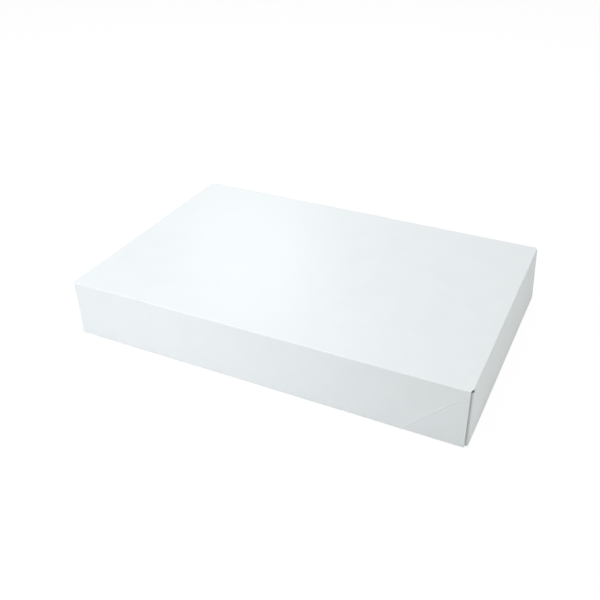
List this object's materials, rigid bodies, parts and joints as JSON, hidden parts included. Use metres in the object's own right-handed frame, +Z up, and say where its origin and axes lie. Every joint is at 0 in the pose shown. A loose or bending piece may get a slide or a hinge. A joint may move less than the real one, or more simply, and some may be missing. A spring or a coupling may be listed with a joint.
{
  "type": "apparel box",
  "caption": "Shallow white board box with a full-depth lift-off lid and glued, collapsible corners, for packing folded garments.",
  "frame": {"origin": "middle of the closed box at the level of the surface it stands on, which is the underside of the base", "axes": "+X along the box's length, +Y across its width, +Z up out of the lid's panel"},
  "size_m": [0.4318, 0.2798, 0.0643],
  "materials": {
    "base_board": "satin",
    "lid_board": "satin"
  },
  "bodies": {
    "base": {"base": "base_board"},
    "lid": {"lid": "lid_board"}
  },
  "joints": [
    {"name": "lid_lift", "type": "slide", "parent": "base", "child": "lid", "axis": [0, 0, 1], "range_m": [0, 0.15]}
  ]
}
